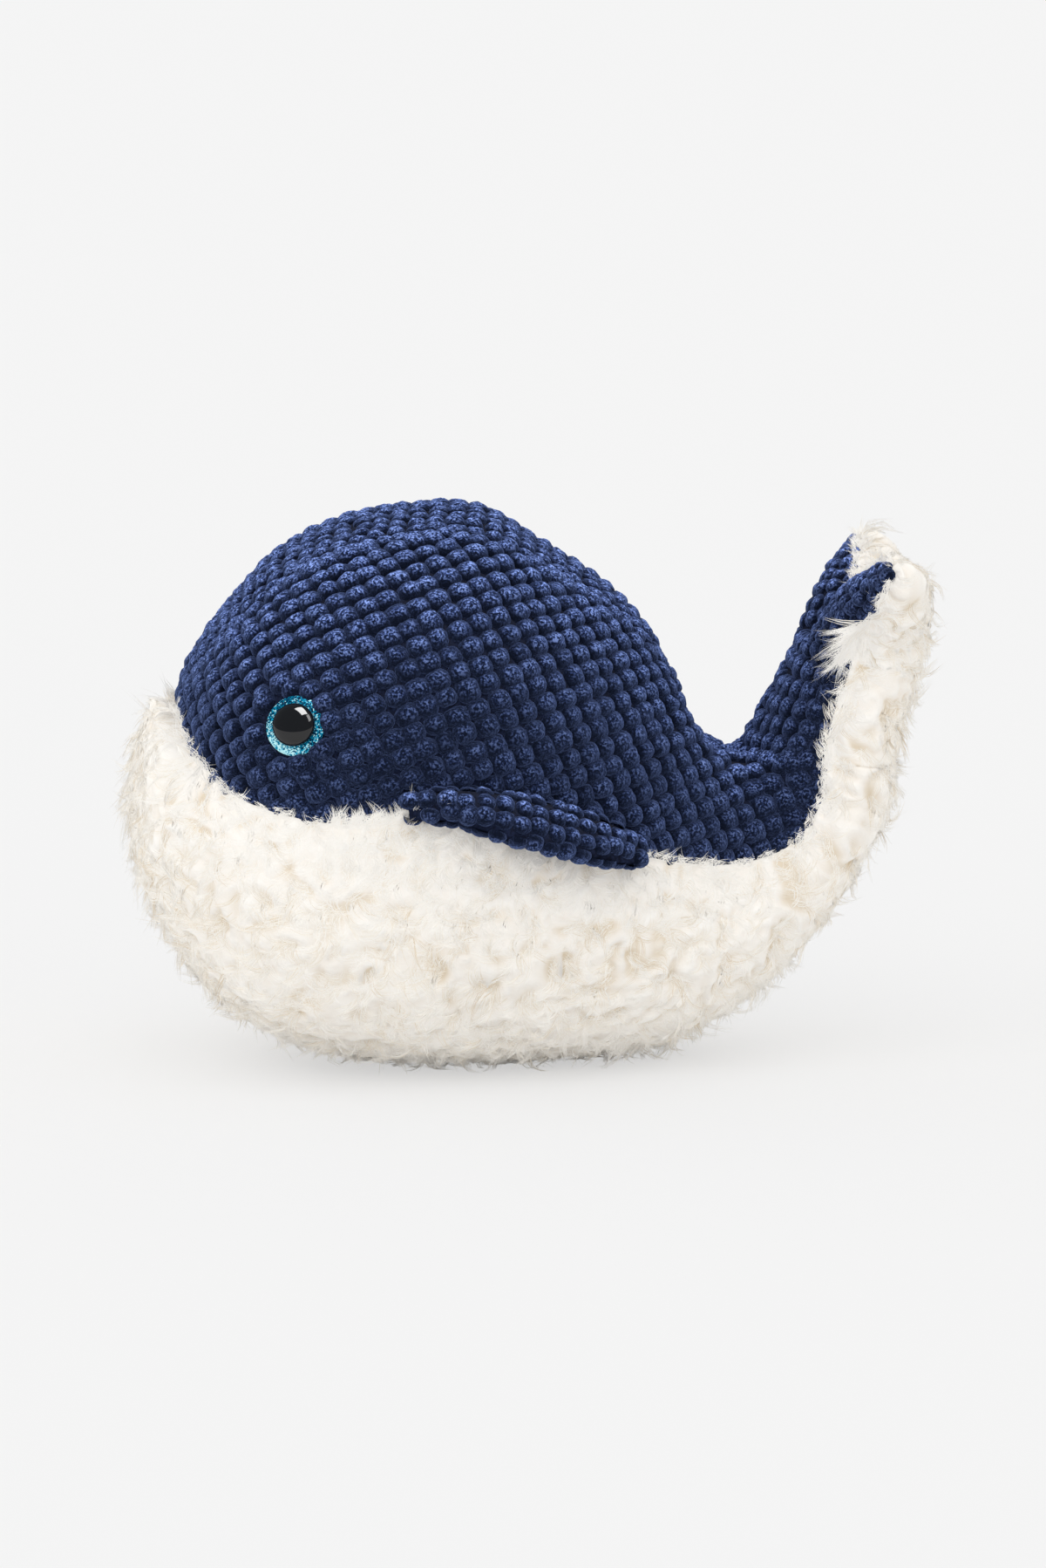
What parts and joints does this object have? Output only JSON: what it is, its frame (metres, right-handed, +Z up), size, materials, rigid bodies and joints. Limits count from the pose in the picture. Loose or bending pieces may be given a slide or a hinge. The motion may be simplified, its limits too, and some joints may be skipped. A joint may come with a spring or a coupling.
{
  "type": "plush whale",
  "caption": "Stuffed toy whale with a bubble plush back, a long pile belly, an upturned tail with flukes, side fins and safety eyes.",
  "frame": {"origin": "on the floor under the middle of the whale's bounding box", "axes": "-X towards the nose, -Y towards the whale's left side, +Z up"},
  "size_m": [0.3846, 0.2556, 0.2682],
  "materials": {
    "navy_bubble_plush": "curly bubble plush",
    "cream_long_pile": "long curly pile with taupe tips",
    "stuffing_fibre": "loose polyester fibre",
    "glitter_iris": "clear plastic over blue glitter",
    "pupil_black": "polished",
    "washer_plastic": "moulded"
  },
  "bodies": {
    "body": {"back_left_panel": "navy_bubble_plush", "crown_gusset": "navy_bubble_plush", "back_right_panel": "navy_bubble_plush", "belly_fur_panel": "cream_long_pile", "body_stuffing": "stuffing_fibre", "eye_left_iris": "glitter_iris", "eye_left_pupil": "pupil_black", "eye_left_washer": "washer_plastic", "eye_right_iris": "glitter_iris", "eye_right_pupil": "pupil_black", "eye_right_washer": "washer_plastic"},
    "tail": {"tail_front_panel": "navy_bubble_plush", "tail_fur_panel": "cream_long_pile", "tail_stuffing": "stuffing_fibre"},
    "fluke_left": {"fluke_left_front_panel": "navy_bubble_plush", "fluke_left_fur_panel": "cream_long_pile", "fluke_left_stuffing": "stuffing_fibre"},
    "fluke_right": {"fluke_right_front_panel": "navy_bubble_plush", "fluke_right_fur_panel": "cream_long_pile", "fluke_right_stuffing": "stuffing_fibre"},
    "fin_left": {"fin_left_outer_panel": "navy_bubble_plush", "fin_left_inner_panel": "navy_bubble_plush", "fin_left_stuffing": "stuffing_fibre"},
    "fin_right": {"fin_right_outer_panel": "navy_bubble_plush", "fin_right_inner_panel": "navy_bubble_plush", "fin_right_stuffing": "stuffing_fibre"}
  },
  "joints": [
    {"name": "tail_bend", "type": "hinge", "parent": "body", "child": "tail", "pos_m": [0.1012, 0, 0.14587], "axis": [0, -1, 0], "range_deg": [-6, 30], "stiffness_Nm_per_rad": 1},
    {"name": "fluke_left_fold", "type": "hinge", "parent": "tail", "child": "fluke_left", "pos_m": [0.1328, -0.01977, 0.19739], "axis": [0, -1, 0], "range_deg": [-5, 30], "stiffness_Nm_per_rad": 0.2},
    {"name": "fluke_right_fold", "type": "hinge", "parent": "tail", "child": "fluke_right", "pos_m": [0.1328, 0.01977, 0.19739], "axis": [0, -1, 0], "range_deg": [-5, 30], "stiffness_Nm_per_rad": 0.2},
    {"name": "fin_left_swing", "type": "hinge", "parent": "body", "child": "fin_left", "pos_m": [-0.06594, -0.11782, 0.13931], "axis": [0.1637, -0.1549, -0.9743], "range_deg": [0, 65], "stiffness_Nm_per_rad": 0.1},
    {"name": "fin_right_swing", "type": "hinge", "parent": "body", "child": "fin_right", "pos_m": [-0.06594, 0.11782, 0.13931], "axis": [-0.1637, -0.1549, 0.9743], "range_deg": [0, 65], "stiffness_Nm_per_rad": 0.1}
  ]
}
